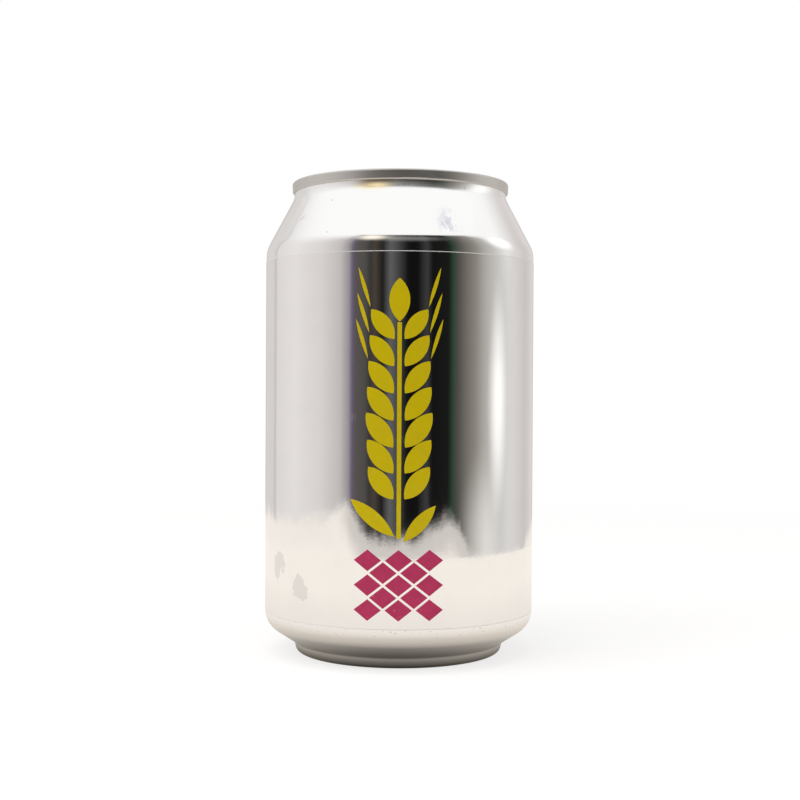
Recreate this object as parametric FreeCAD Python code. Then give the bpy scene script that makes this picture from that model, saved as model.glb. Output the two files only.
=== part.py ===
import FreeCAD, Part
import math
import os

# A shut 330 ml drinks can: a drawn and necked body, a stay-on-tab end joined by a double seam,
# and a film label wrapped round the straight wall. Millimetres throughout.
# The can stands on z = 0 with its axis on Z. It pours towards -Y, and the label closes at +Y.
# The body is filled up to the underside of the end, as a full can is.

# ---------------------------------------------------------------- driving dimensions
# body, outside
can_height = 115.2            # stand ring to the top of the seam
body_radius = 33.0            # straight wall
neck_radius = 26.1            # under the seam
shoulder_drop = 16.74         # top of the can to where the wall and the neck cone would meet
shoulder_round = 6.7
throat_drop = 3.76            # top of the can to where the neck cone and the neck would meet
throat_round = 3.8

# base
heel_height = 7.27            # where the wall and the chime cone would meet
heel_round = 5.3
chime_height = 2.6            # bottom of the chime cone
crease_round = 1.0
ring_angle = 15.0             # outer face of the stand ring, from vertical
stand_radius = 23.95          # middle of the ring that touches the table
stand_flat = 0.5              # its width
nose_outer_round = 1.25
nose_inner_round = 1.3
dome_height = 10.6            # crown of the dome above the table
dome_radius = 46.0            # curvature of the dome
dome_edge_round = 1.6

# double seam
seam_height = 2.45
seam_width = 1.18
seam_overhang = 0.64          # seam beyond the neck
seam_top_round = 0.52
seam_foot_round = 0.35
seam_lean = 0.08              # how far the foot of the seam is tucked in
hook_rise = 1.6               # neck inside the seam
seam_play = 0.03              # neck to seam, and filled body to end

# end
end_gauge = 0.21
countersink_depth = 6.7       # top of the seam to the bottom of the countersink
countersink_width = 1.3
countersink_round = 0.55
chuck_angle = 14.0            # chuck wall under the seam, from vertical
chuck_round = 2.0
panel_height = 2.3            # centre panel above the bottom of the countersink
panel_round = 0.7

# recess pressed in the centre panel: a large front circle and a small back one, joined by tangents
deboss_depth = 0.35
deboss_slope = 0.4            # how much wider its mouth is than its floor
deboss_mouth_round = 0.45
deboss_floor_round = 0.25
deboss_back_radius = 8.6
front_land = 3.0              # flat left between the recess and the edge of the panel
side_land = 6.2
back_land = 3.2

# pour opening: a scored oval of four arcs, between the rivet and the front of the recess
aperture_width = 20.6
aperture_front_gap = 1.75     # score to the front of the recess
aperture_rivet_gap = 0.5      # score to the rivet head
aperture_crown = 2.0          # half the length less the round of the side arcs
score_width = 0.28
score_depth = 0.1
hinge_from = 118.0            # unscored part of the oval, degrees from +X
hinge_to = 150.0
bead_inset = 2.5              # score to the crest of the tear panel's bead
bead_radius = 0.75
bead_height = 0.3
bead_tab_gap = 0.5            # nose of the tab to the ends of the bead

# finger well under the tail of the tab
well_radius = 5.8
well_depth = 1.0
well_gap = 0.6                # rim of the well to the edge of the recess

# bumps that keep the tab straight
bump_radius = 0.9
bump_height = 0.35
bump_gap = 0.4                # bump to the side of the tab
bump_y = -3.0

# rivet
rivet_radius = 1.6
rivet_head_radius = 2.75
rivet_head_height = 0.42
rivet_head_round = 0.18
rivet_dish_radius = 1.7
rivet_dish_depth = 0.16
rivet_play = 0.03

# pull tab
tab_nose = 7.6                # rivet to the tip of the nose
tab_tail_gap = 2.8            # end of the tail to the back of the recess
tab_nose_width = 15.8
tab_tail_width = 13.6
tab_nose_round = 6.6
tab_tail_round = 6.0
tab_height = 1.3              # height of the curled edge
tab_curl_width = 1.5
tab_curl_round = 0.5
tab_gauge = 0.27
web_drop = 0.32               # top of the curl to the top of the web
tab_lift = 0.05               # panel to the underside of the curl
finger_hole_width = 8.2
finger_hole_length = 6.4
finger_hole_round = 2.9
finger_hole_margin = 1.9      # hole to the end of the tail
finger_rim_width = 1.0
tongue_width = 6.8            # strip under the rivet head, left by a U-shaped slot
tongue_front = 3.6            # rivet to the foot of the tongue's slope
tongue_back = 3.4
tongue_slope = 1.2            # length of the slope up to the web
tongue_round = 1.6
slot_width = 0.9

# label
label_bottom_gap = 0.25       # start of the straight wall to the label
label_top_gap = 1.1           # label to the end of the straight wall
film_gauge = 0.06
adhesive_gauge = 0.04
overlap_width = 6.0

# ---------------------------------------------------------------- sizes that follow
Vector = FreeCAD.Vector
origin = Vector(0, 0, 0)
axis = Vector(0, 0, 1)
across = Vector(1, 0, 0)
tiny = 0.0005                 # lengths under this count as nothing

# stand ring, chime and the ends of the straight wall
ring_lean = math.radians(ring_angle)
ring_foot = stand_radius + stand_flat / 2 + nose_outer_round * math.tan((math.pi / 2 - ring_lean) / 2)
ring_inner = stand_radius - stand_flat / 2 - nose_inner_round
crease_radius = ring_foot + chime_height * math.tan(ring_lean)
heel_turn = math.atan2(body_radius - crease_radius, heel_height - chime_height)
shoulder_turn = math.atan2(body_radius - neck_radius, shoulder_drop - throat_drop)
wall_bottom = heel_height + heel_round * math.tan(heel_turn / 2)
wall_top = can_height - shoulder_drop - shoulder_round * math.tan(shoulder_turn / 2)

# seam and end
seam_radius = neck_radius + seam_overhang
seam_foot = can_height - seam_height
hook_top = seam_foot + hook_rise
chuck_radius = seam_radius - seam_width
countersink_z = can_height - countersink_depth
chuck_run = (seam_foot - countersink_z) * math.tan(math.radians(chuck_angle))
panel_radius = chuck_radius - chuck_run - countersink_width
panel_z = countersink_z + panel_height

# recess, opening and finger well
floor_z = panel_z - deboss_depth
recess_front = panel_radius - front_land
recess_back = panel_radius - back_land
deboss_front_radius = panel_radius - side_land
deboss_front_y = deboss_front_radius - recess_front
deboss_back_y = recess_back - deboss_back_radius
aperture_back = rivet_head_radius + aperture_rivet_gap
aperture_length = recess_front - aperture_front_gap - aperture_back
aperture_y = -(aperture_back + aperture_length / 2)
side_arc_radius = aperture_length / 2 - aperture_crown
side_arc_x = aperture_width / 2 - side_arc_radius
broad_tip = aperture_length / 2
broad_arc_radius = (side_arc_x ** 2 + broad_tip ** 2 - side_arc_radius ** 2) / (2 * aperture_crown)
broad_arc_y = broad_arc_radius - broad_tip
well_y = recess_back - well_gap - well_radius

# tab
tab_tail = recess_back - tab_tail_gap
tab_z = floor_z + tab_lift
tab_top = tab_z + tab_height
web_top = tab_top - web_drop
rivet_seat = tab_z + tab_gauge + rivet_play

# label
label_bottom = wall_bottom + label_bottom_gap
label_top = wall_top - label_top_gap
film_inner = body_radius + adhesive_gauge
film_outer = film_inner + film_gauge


# ---------------------------------------------------------------- outlines
# A corner is a (point, round) pair. Sections lie in the XZ plane and plans in a level plane.
def section(*corners):
    return [(Vector(x, 0, z), radius) for x, z, radius in corners]


def plan(z, *corners):
    return [(Vector(x, y, z), radius) for x, y, radius in corners]


def bend(before, corner, after, radius):
    # Start, middle and end of the tangent arc that rounds a corner.
    back = (before - corner).normalize()
    ahead = (after - corner).normalize()
    half_turn = (math.pi - back.getAngle(ahead)) / 2
    reach = radius * math.tan(half_turn)
    inset = radius / math.cos(half_turn) - radius
    return corner + back * reach, corner + (back + ahead).normalize() * inset, corner + ahead * reach


def rounded_edges(corners, closed=False):
    points = [point for point, radius in corners]
    bends = [(point, None, point) for point in points]
    for i, (point, radius) in enumerate(corners):
        if radius > 0:
            bends[i] = bend(points[i - 1], point, points[(i + 1) % len(points)], radius)
    edges = [Part.Arc(*arc).toShape() for arc in bends if arc[1] is not None]
    followers = bends[1:] + bends[:1] if closed else bends[1:]
    for (_, _, start), (end, _, _) in zip(bends, followers):
        if start.distanceToPoint(end) > tiny:
            edges.append(Part.makeLine(start, end))
    return edges


def face_of(edges):
    return Part.Face(Part.Wire(Part.sortEdges(edges)[0]))


def revolved(edges):
    return face_of(edges).revolve(origin, axis, 360)


def parallel(corners, skin):
    # The same corners moved skin to the left of the way that they run, with rounds to match.
    points = [point for point, radius in corners]
    ways = [(after - before).normalize() for before, after in zip(points, points[1:])]
    ways = [ways[0]] + ways + [ways[-1]]
    moved = []
    for (point, radius), way_in, way_out in zip(corners, ways, ways[1:]):
        aside_in = Vector(-way_in.z, 0, way_in.x)
        aside_out = Vector(-way_out.z, 0, way_out.x)
        halfway = (aside_in + aside_out).normalize()
        turn = way_in.x * way_out.z - way_in.z * way_out.x
        shrink = math.copysign(skin, turn) if radius > 0 else 0
        moved.append((point + halfway * (skin / halfway.dot(aside_in)), radius - shrink))
    return moved


def tangent_outline(front_y, front_radius, back_y, back_radius, z):
    # Two circles on the Y axis, wrapped by their outer tangents.
    lean = math.asin((front_radius - back_radius) / (back_y - front_y))
    side = Vector(math.cos(lean), math.sin(lean), 0)
    mirrored = Vector(-side.x, side.y, 0)
    front = Vector(0, front_y, z)
    back = Vector(0, back_y, z)
    front_tip = front - Vector(0, front_radius, 0)
    back_tip = back + Vector(0, back_radius, 0)
    edges = [
        Part.Arc(front + mirrored * front_radius, front_tip, front + side * front_radius).toShape(),
        Part.makeLine(front + side * front_radius, back + side * back_radius),
        Part.Arc(back + side * back_radius, back_tip, back + mirrored * back_radius).toShape(),
        Part.makeLine(back + mirrored * back_radius, front + mirrored * front_radius),
    ]
    return Part.Wire(edges)


def aperture_oval(grow, z):
    # Outline of the pour opening, moved outwards by grow: two small side arcs and two broad ones between.
    share = (side_arc_radius + grow) / (broad_arc_radius - side_arc_radius)
    x = side_arc_x + side_arc_x * share
    y = broad_arc_y * share
    side = aperture_width / 2 + grow
    broad = broad_tip + grow
    turns = [
        ((x, -y), (side, 0), (x, y)),
        ((x, y), (0, broad), (-x, y)),
        ((-x, y), (-side, 0), (-x, -y)),
        ((-x, -y), (0, -broad), (x, -y)),
    ]
    return face_of([
        Part.Arc(*[Vector(right, back + aperture_y, z) for right, back in turn]).toShape() for turn in turns])


# ---------------------------------------------------------------- can body
def dome_edges():
    # From the crown out to the inner wall of the stand ring, with a round between the two.
    centre_z = dome_height - dome_radius
    round_radius = ring_inner - dome_edge_round
    round_z = centre_z + math.sqrt((dome_radius - dome_edge_round) ** 2 - round_radius ** 2)
    middle = Vector(round_radius, 0, round_z)
    outward = (middle - Vector(0, 0, centre_z)).normalize()
    touch = middle + outward * dome_edge_round
    halfway = (outward + Vector(1, 0, 0)).normalize()
    wall_start = Vector(ring_inner, 0, round_z)
    lean = math.atan2(touch.x, touch.z - centre_z) / 2
    on_dome = Vector(dome_radius * math.sin(lean), 0, centre_z + dome_radius * math.cos(lean))
    edges = [
        Part.Arc(Vector(0, 0, dome_height), on_dome, touch).toShape(),
        Part.Arc(touch, middle + halfway * dome_edge_round, wall_start).toShape(),
    ]
    return edges, wall_start


def outer_corners(wall_start):
    # Down the inside of the stand ring, round its nose, and up the outside to the mouth.
    return section(
        (ring_inner, wall_start.z, 0),
        (ring_inner, 0, nose_inner_round),
        (ring_foot, 0, nose_outer_round),
        (crease_radius, chime_height, crease_round),
        (body_radius, heel_height, heel_round),
        (body_radius, can_height - shoulder_drop, shoulder_round),
        (neck_radius, can_height - throat_drop, throat_round),
        (neck_radius, hook_top, 0),
        (0, hook_top, 0),
    )


def can_body():
    dome, wall_start = dome_edges()
    closing = [Part.makeLine(Vector(0, 0, hook_top), Vector(0, 0, dome_height))]
    filled = revolved(dome + rounded_edges(outer_corners(wall_start)) + closing)
    return filled.cut(space_above_end(end_gauge + seam_play))


# ---------------------------------------------------------------- can end
def bowl(skin):
    # Space inside the chuck wall, down to the countersink and the centre panel.
    rim_z = can_height - seam_top_round
    corners = parallel(section(
        (chuck_radius, rim_z, 0),
        (chuck_radius, seam_foot, chuck_round),
        (panel_radius + countersink_width, countersink_z, countersink_round),
        (panel_radius, countersink_z, countersink_round),
        (panel_radius, panel_z, panel_round),
        (0, panel_z, 0),
    ), skin)
    first = corners[0][0]
    last = corners[-1][0]
    top = Vector(0, 0, first.z)
    return revolved(rounded_edges(corners) + [Part.makeLine(last, top), Part.makeLine(top, first)])


def level_edges(shape, z):
    # Open edges that lie level at this height. Full circles are left out.
    spans = [(edge, edge.BoundBox) for edge in shape.Edges if len(edge.Vertexes) == 2]
    return [edge for edge, span in spans if abs(span.ZMin - z) < tiny and abs(span.ZMax - z) < tiny]


def deboss(skin):
    z = floor_z - skin
    front = deboss_front_radius + skin
    back = deboss_back_radius + skin
    floor_outline = tangent_outline(deboss_front_y, front, deboss_back_y, back, z)
    front += deboss_slope
    back += deboss_slope
    mouth_outline = tangent_outline(deboss_front_y, front, deboss_back_y, back, z + deboss_depth)
    return Part.makeLoft([floor_outline, mouth_outline], True, True)


def pressed_panel(skin):
    # Bowl with its recess, both edges of the recess rounded as the sheet bends.
    hollow = bowl(skin).fuse(deboss(skin)).removeSplitter()
    hollow = hollow.makeFillet(deboss_mouth_round - skin, level_edges(hollow, panel_z - skin))
    return hollow.makeFillet(deboss_floor_round + skin, level_edges(hollow, floor_z - skin))


def finger_well(skin):
    curvature = (well_radius ** 2 + well_depth ** 2) / (2 * well_depth)
    middle = Vector(0, well_y, floor_z - well_depth + curvature)
    ball = Part.makeSphere(curvature + skin, middle, across)
    lowest = Vector(0, well_y, floor_z - well_depth - skin)
    slice_below_floor = Part.makeCylinder(2 * well_radius, well_depth + 2 * skin, lowest)
    return ball.common(slice_below_floor)


def bead_arc(middle, radius, turn_from, turn_to, skin):
    # Round bar bent round a level arc, turns in degrees from +X.
    start = middle + across * radius
    section_circle = Part.makeCircle(bead_radius - skin, start, Vector(0, 1, 0))
    bar = Part.Face(Part.Wire(section_circle)).revolve(middle, axis, turn_to - turn_from)
    bar.rotate(middle, axis, turn_from)
    return bar


def tear_bead(skin):
    # Raised horseshoe on the tear panel, inside the score. Its ends stop short of the nose of the tab.
    z = floor_z + bead_height - bead_radius
    corner_turn = math.degrees(math.atan2(broad_arc_y, side_arc_x))
    side_radius = side_arc_radius - bead_inset
    reach = -(tab_nose + bead_tab_gap + bead_radius) - aperture_y
    end_turn = corner_turn
    if reach < broad_arc_y:
        end_turn = min(corner_turn, math.degrees(math.asin(reach / side_radius)))
    right = Vector(side_arc_x, aperture_y, z)
    left = Vector(-side_arc_x, aperture_y, z)
    behind = Vector(0, aperture_y + broad_arc_y, z)
    tip = Vector(math.cos(math.radians(end_turn)), math.sin(math.radians(end_turn)), 0) * side_radius
    return [
        bead_arc(right, side_radius, -corner_turn, end_turn, skin),
        bead_arc(behind, broad_arc_radius - bead_inset, corner_turn - 180, -corner_turn, skin),
        bead_arc(left, side_radius, 180 - end_turn, 180 + corner_turn, skin),
        Part.makeSphere(bead_radius - skin, right + tip, across),
        Part.makeSphere(bead_radius - skin, left + Vector(-tip.x, tip.y, 0), across),
    ]


def bumps(skin):
    side = tab_nose_width / 2 + bump_gap + bump_radius
    z = floor_z + bump_height - bump_radius
    return [Part.makeSphere(bump_radius - skin, Vector(x, bump_y, z), across) for x in (-side, side)]


def space_above_end(skin):
    # Everything above the surface that lies skin below the top of the end.
    return pressed_panel(skin).fuse(finger_well(skin)).cut(tear_bead(skin) + bumps(skin))


def double_seam():
    hook_wall = neck_radius + seam_play
    hook_roof = hook_top + seam_play
    return revolved(rounded_edges(section(
        (chuck_radius, can_height, seam_top_round),
        (seam_radius, can_height, seam_top_round),
        (seam_radius - seam_lean, seam_foot, seam_foot_round),
        (hook_wall, seam_foot, 0),
        (hook_wall, hook_roof, 0),
        (chuck_radius, hook_roof, 0),
    ), closed=True))


def score():
    # Groove round the aperture, left out at the hinge.
    bottom = floor_z - score_depth
    band = aperture_oval(score_width / 2, bottom).cut(aperture_oval(-score_width / 2, bottom))
    middle = Vector(0, aperture_y, bottom)
    turns = [math.radians(hinge_from), math.radians(hinge_to)]
    far = [middle + Vector(math.cos(turn), math.sin(turn), 0) * aperture_width for turn in turns]
    hinge = Part.Face(Part.makePolygon([middle] + far + [middle]))
    return band.cut(hinge).extrude(axis * panel_height)


def rivet():
    head_top = rivet_seat + rivet_head_height
    dish = (rivet_dish_radius ** 2 + rivet_dish_depth ** 2) / (2 * rivet_dish_depth)
    upset = revolved(rounded_edges(section(
        (0, floor_z - end_gauge, 0),
        (rivet_radius, floor_z - end_gauge, 0),
        (rivet_radius, rivet_seat, 0),
        (rivet_head_radius, rivet_seat, rivet_head_round),
        (rivet_head_radius, head_top, rivet_head_round),
        (0, head_top, 0),
    ), closed=True))
    return upset.cut(Part.makeSphere(dish, Vector(0, 0, head_top - rivet_dish_depth + dish), across))


def can_end():
    sheet = space_above_end(end_gauge).cut(space_above_end(0))
    return sheet.cut(score()).fuse([double_seam(), rivet()])


# ---------------------------------------------------------------- pull tab
def tab_plan():
    half_nose = tab_nose_width / 2
    half_tail = tab_tail_width / 2
    return face_of(rounded_edges(plan(
        tab_z,
        (-half_nose, -tab_nose, tab_nose_round),
        (half_nose, -tab_nose, tab_nose_round),
        (half_tail, tab_tail, tab_tail_round),
        (-half_tail, tab_tail, tab_tail_round),
    ), closed=True))


def rounded_rectangle(width, front, back, radius, z):
    half = width / 2
    return face_of(rounded_edges(plan(
        z, (-half, front, radius), (half, front, radius), (half, back, radius), (-half, back, radius),
    ), closed=True))


def curled_rim(outline, width, height, radius):
    # Ring that follows the outline, with its four long edges rounded.
    ring = outline.cut(outline.makeOffset2D(-width)).extrude(axis * height)
    level = [edge for edge in ring.Edges if edge.BoundBox.ZLength < tiny]
    return ring.makeFillet(radius, level)


def raised(face, z_from, z_to):
    lifted = face.translated(axis * (z_from - face.BoundBox.ZMin))
    return lifted.extrude(axis * (z_to - z_from))


def tongue():
    # Strip that the rivet holds: level under the head, then a slope up to the web at the nose.
    seat_z = tab_z + tab_gauge
    root = -(tongue_front + tongue_slope)
    top = section(
        (root - slot_width, web_top, 0),
        (root, web_top, tab_gauge * 1.5),
        (-tongue_front, seat_z, tab_gauge * 2),
        (tongue_back, seat_z, 0),
    )
    under = parallel(top, -tab_gauge)
    ends = [Part.makeLine(top[0][0], under[0][0]), Part.makeLine(top[-1][0], under[-1][0])]
    side = face_of(rounded_edges(top) + rounded_edges(under) + ends)
    side.rotate(origin, axis, 90)
    side.translate(Vector(-tongue_width / 2, 0, 0))
    strip = side.extrude(Vector(tongue_width, 0, 0))
    trim = rounded_rectangle(tongue_width, root - 2 * tongue_round, tongue_back, tongue_round, tab_z)
    return strip.common(raised(trim, tab_z - tab_gauge, web_top + tab_gauge))


def pull_tab():
    outline = tab_plan()
    rim = curled_rim(outline, tab_curl_width, tab_height, tab_curl_round)
    web = raised(outline.makeOffset2D(-tab_curl_width / 2), web_top - tab_gauge, web_top)
    slot_front = -(tongue_front + tongue_slope)
    slot_back = tongue_back + slot_width
    slot = rounded_rectangle(tongue_width + 2 * slot_width, slot_front, slot_back, tongue_round, tab_z)
    hole_back = tab_tail - finger_hole_margin
    hole_front = hole_back - finger_hole_length
    hole = rounded_rectangle(finger_hole_width, hole_front, hole_back, finger_hole_round, tab_z)
    hole_edge = hole.makeOffset2D(finger_rim_width)
    hole_rim = curled_rim(hole_edge, finger_rim_width, tab_height - web_drop / 2, tab_curl_round * 0.8)
    finger_way = raised(hole, tab_z - tab_height, tab_top + tab_height)
    slot_way = raised(slot, tab_z - tab_height, tab_top + tab_height)
    below = Vector(0, 0, tab_z - tab_height)
    rivet_hole = Part.makeCylinder(rivet_radius + rivet_play, 2 * tab_height, below)
    plate = web.cut([slot_way, finger_way]).fuse([rim.cut(finger_way), hole_rim, tongue()])
    return plate.cut(rivet_hole)


# ---------------------------------------------------------------- label
def label_film():
    height = label_top - label_bottom
    foot = Vector(0, 0, label_bottom)
    wrap = Part.makeCylinder(film_outer, height, foot)
    lap_angle = math.degrees(overlap_width / film_outer)
    lap = Part.makeCylinder(film_outer + film_gauge, height, foot, axis, lap_angle)
    lap.rotate(foot, axis, 90 - lap_angle / 2)
    return wrap.fuse(lap).cut(Part.makeCylinder(film_inner, height, foot)).removeSplitter()


# ---------------------------------------------------------------- parts
makers = {"can_body": can_body, "can_end": can_end, "pull_tab": pull_tab, "label_film": label_film}
os.makedirs("parts", exist_ok=True)
for name, make in makers.items():
    solids = make().Solids
    print(name, "solids:", len(solids), "volume:", round(solids[0].Volume, 2))
    solids[0].exportStep(os.path.join("parts", name + ".step"))
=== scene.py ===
import bpy
import math
from mathutils import Euler, Matrix, Vector


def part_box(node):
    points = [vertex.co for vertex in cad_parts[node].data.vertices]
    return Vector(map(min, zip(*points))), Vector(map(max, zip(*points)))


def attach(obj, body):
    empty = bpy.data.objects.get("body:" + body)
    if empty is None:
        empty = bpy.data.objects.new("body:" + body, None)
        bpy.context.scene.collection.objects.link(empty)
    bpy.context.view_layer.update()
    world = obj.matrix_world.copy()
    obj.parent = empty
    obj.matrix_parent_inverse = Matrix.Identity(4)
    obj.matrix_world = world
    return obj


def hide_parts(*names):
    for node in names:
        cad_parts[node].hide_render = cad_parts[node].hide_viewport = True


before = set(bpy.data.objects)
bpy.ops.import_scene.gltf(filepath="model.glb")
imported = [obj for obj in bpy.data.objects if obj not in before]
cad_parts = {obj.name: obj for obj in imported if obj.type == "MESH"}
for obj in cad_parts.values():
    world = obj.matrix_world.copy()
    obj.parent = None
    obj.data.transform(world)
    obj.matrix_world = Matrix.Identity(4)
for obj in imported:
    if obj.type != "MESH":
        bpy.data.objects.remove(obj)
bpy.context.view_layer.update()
mm = 0.001
print("frame loaded")

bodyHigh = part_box("can_body")[1]
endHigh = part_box("can_end")[1]
filmLow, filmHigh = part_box("label_film")
wallRadius = bodyHigh.x       # straight wall
filmRadius = filmHigh.x       # outside of the label
seamRadius = endHigh.x        # outside of the double seam
weldReach = 0.002 * mm        # corners this close are one


def deselectAll():
    if bpy.context.object and bpy.context.object.mode != "OBJECT":
        bpy.ops.object.mode_set(mode="OBJECT")
    bpy.ops.object.select_all(action="DESELECT")


def finishPiece(piece, material, smoothAngle=35):
    deselectAll()
    piece.select_set(True)
    bpy.context.view_layer.objects.active = piece
    bpy.ops.object.shade_smooth_by_angle(angle=math.radians(smoothAngle))
    piece.data.materials.clear()
    piece.data.materials.append(material)
    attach(piece, "root")


# camera

cameraSettings = {
    "place": (0.0, -0.3334, 0.0646),
    "lens": 60.25,
    "sensor": 36.0,
    "pitch": -0.47,      # degrees, down
    "yaw": -0.03,
    "roll": 0.3,
    "clipStart": 0.01,
}


def addCamera(s):
    deselectAll()
    bpy.ops.object.camera_add(location=s["place"])
    camera = bpy.context.object
    camera.name = "canCamera"
    camera.data.lens = s["lens"]
    camera.data.sensor_width = s["sensor"]
    camera.data.clip_start = s["clipStart"]
    turn = Euler((math.radians(90 + s["pitch"]), 0, math.radians(s["yaw"]))).to_matrix()
    camera.rotation_euler = (turn @ Matrix.Rotation(math.radians(s["roll"]), 3, "Z")).to_euler()
    bpy.context.scene.camera = camera


addCamera(cameraSettings)
print("camera placed")


# node helpers: tree is the node tree of a material, a group or the world

def newMaterial(name):
    material = bpy.data.materials.new(name)
    material.use_nodes = True
    tree = material.node_tree
    return material, tree, tree.nodes["Principled BSDF"]


def newGroup(name, inputs, outputs):
    tree = bpy.data.node_groups.new(name, "ShaderNodeTree")
    for socket, kind in inputs:
        tree.interface.new_socket(socket, in_out="INPUT", socket_type=kind)
    for socket, kind in outputs:
        tree.interface.new_socket(socket, in_out="OUTPUT", socket_type=kind)
    return tree, tree.nodes.new("NodeGroupInput").outputs, tree.nodes.new("NodeGroupOutput").inputs


def addNode(tree, kind, **values):
    node = tree.nodes.new(kind)
    for key, value in values.items():
        if hasattr(node, key):
            setattr(node, key, value)
        else:
            node.inputs[key.replace("_", " ")].default_value = value
    return node


def feed(tree, socket, value):
    # a number, colour or vector is set on the socket; another node's output is linked to it
    if isinstance(value, (int, float, tuple, Vector)):
        socket.default_value = value
    else:
        tree.links.new(value, socket)


def placeGroup(tree, group, **values):
    node = addNode(tree, "ShaderNodeGroup", node_tree=group)
    for name, value in values.items():
        feed(tree, node.inputs[name], value)
    return node.outputs


def rangeNode(tree, value, fromLow, fromHigh, toLow=0.0, toHigh=1.0, soft=True):
    node = addNode(tree, "ShaderNodeMapRange", interpolation_type="SMOOTHSTEP" if soft else "LINEAR")
    for socket, number in zip(node.inputs, (value, fromLow, fromHigh, toLow, toHigh)):
        feed(tree, socket, number)
    return node.outputs["Result"]


def slopeNode(tree, value, ends):
    # from 0 at the first end to 1 at the second, ends in millimetres
    return rangeNode(tree, value, ends[0] * mm, ends[1] * mm)


def bandNode(tree, value, rise, fall):
    return times(tree, slopeNode(tree, value, rise), slopeNode(tree, value, fall))


def mathNode(tree, operation, *values, clamp=False):
    node = addNode(tree, "ShaderNodeMath", operation=operation, use_clamp=clamp)
    for socket, value in zip(node.inputs, values):
        feed(tree, socket, value)
    return node.outputs[0]


def times(tree, first, *others):
    for other in others:
        first = mathNode(tree, "MULTIPLY", first, other)
    return first


def plus(tree, first, *others):
    for other in others:
        first = mathNode(tree, "ADD", first, other)
    return first


def greatest(tree, first, *others):
    for other in others:
        first = mathNode(tree, "MAXIMUM", first, other)
    return first


def vectorNode(tree, operation, *values):
    node = addNode(tree, "ShaderNodeVectorMath", operation=operation)
    for socket, value in zip(node.inputs, values):
        feed(tree, socket, value)
    return node.outputs["Value" if operation == "LENGTH" else "Vector"]


def splitNode(tree, vector):
    node = addNode(tree, "ShaderNodeSeparateXYZ")
    feed(tree, node.inputs[0], vector)
    return node.outputs


def joinNode(tree, x, y):
    node = addNode(tree, "ShaderNodeCombineXYZ")
    feed(tree, node.inputs[0], x)
    feed(tree, node.inputs[1], y)
    return node.outputs[0]


def mixColour(tree, mask, first, second, blend="MIX"):
    node = addNode(tree, "ShaderNodeMix", data_type="RGBA", blend_type=blend)
    for socket, value in ((0, mask), (6, first), (7, second)):
        feed(tree, node.inputs[socket], value)
    return node.outputs[2]


def mixShader(tree, share, first, second):
    node = addNode(tree, "ShaderNodeMixShader")
    for socket, value in zip(node.inputs, (share, first, second)):
        feed(tree, socket, value)
    return node.outputs[0]


def glowNode(tree, colour):
    node = addNode(tree, "ShaderNodeEmission")
    feed(tree, node.inputs["Color"], colour)
    return node.outputs[0]


def rampNode(tree, value, stops):
    # stops are pairs of a position and a brightness or a colour
    ramp = addNode(tree, "ShaderNodeValToRGB")
    elements = ramp.color_ramp.elements
    while len(elements) < len(stops):
        elements.new(0.5)
    for element, (position, tone) in zip(elements, stops):
        element.position = position
        element.color = (*tone, 1) if isinstance(tone, tuple) else (tone, tone, tone, 1)
    feed(tree, ramp.inputs["Fac"], value)
    return ramp.outputs["Color"]


def stretched(tree, vector, scale, turn=(0, 0, 0)):
    node = addNode(tree, "ShaderNodeMapping", Scale=scale, Rotation=turn)
    feed(tree, node.inputs["Vector"], vector)
    return node.outputs["Vector"]


def noiseNode(tree, vector, scale, detail=2.0, roughness=0.5, stretch=None, turn=(0, 0, 0)):
    node = addNode(tree, "ShaderNodeTexNoise", Scale=scale, Detail=detail, Roughness=roughness)
    if stretch:
        vector = stretched(tree, vector, stretch, turn)
    feed(tree, node.inputs["Vector"], vector)
    return node.outputs["Fac"]


def bumpNode(tree, height, distance, under=None):
    node = addNode(tree, "ShaderNodeBump", Strength=1.0, Distance=distance * mm)
    feed(tree, node.inputs["Height"], height)
    if under is not None:
        feed(tree, node.inputs["Normal"], under)
    return node.outputs["Normal"]


# studio: pale floor, white world, soft lamps and a grey surround that only reflections see

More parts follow.
